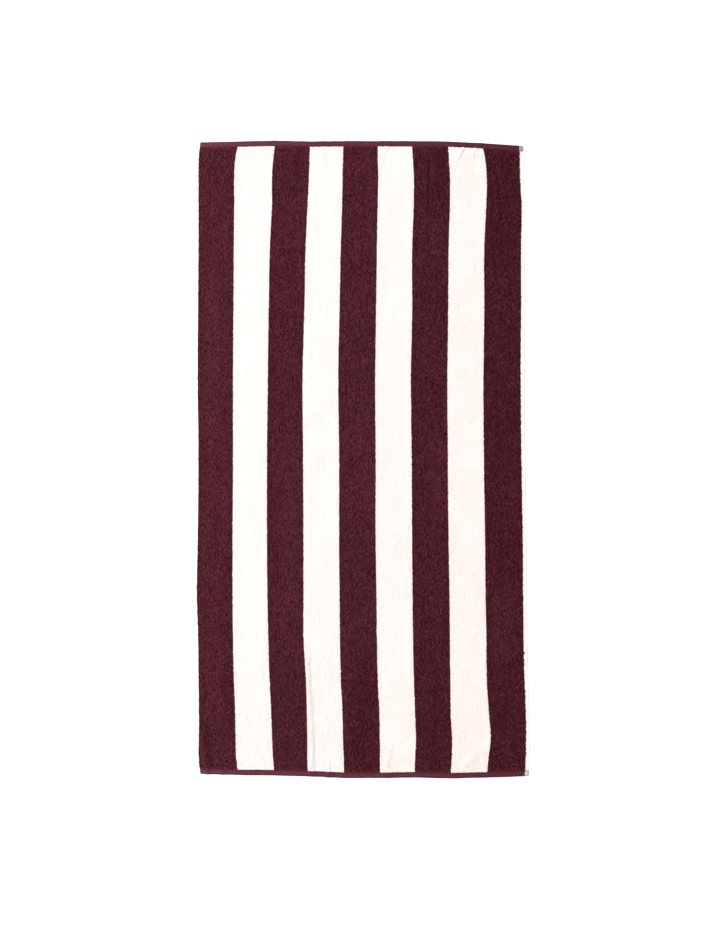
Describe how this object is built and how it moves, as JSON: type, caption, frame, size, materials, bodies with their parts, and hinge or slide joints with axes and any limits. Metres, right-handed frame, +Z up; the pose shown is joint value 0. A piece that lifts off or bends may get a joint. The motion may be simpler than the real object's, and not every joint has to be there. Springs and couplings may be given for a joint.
{
  "type": "beach towel",
  "caption": "Flat-lying cotton terry beach towel with broad burgundy and white lengthwise stripes, a flat-woven hem at each end and a bare white selvedge.",
  "frame": {"origin": "on the floor under the middle of the towel", "axes": "+X across the towel, towards its white selvedge; +Y along its length, towards its top end; +Z up, out of the pile face that shows"},
  "size_m": [0.784, 1.503, 0.0079],
  "materials": {
    "burgundy_terry": "matt looped cotton pile, yarn-dyed burgundy",
    "white_terry": "matt looped cotton pile, warm white",
    "hem_weave": "flat-woven cotton, burgundy with paler flecks"
  },
  "bodies": {
    "root": {"towel_cloth": "burgundy_terry"}
  },
  "joints": []
}
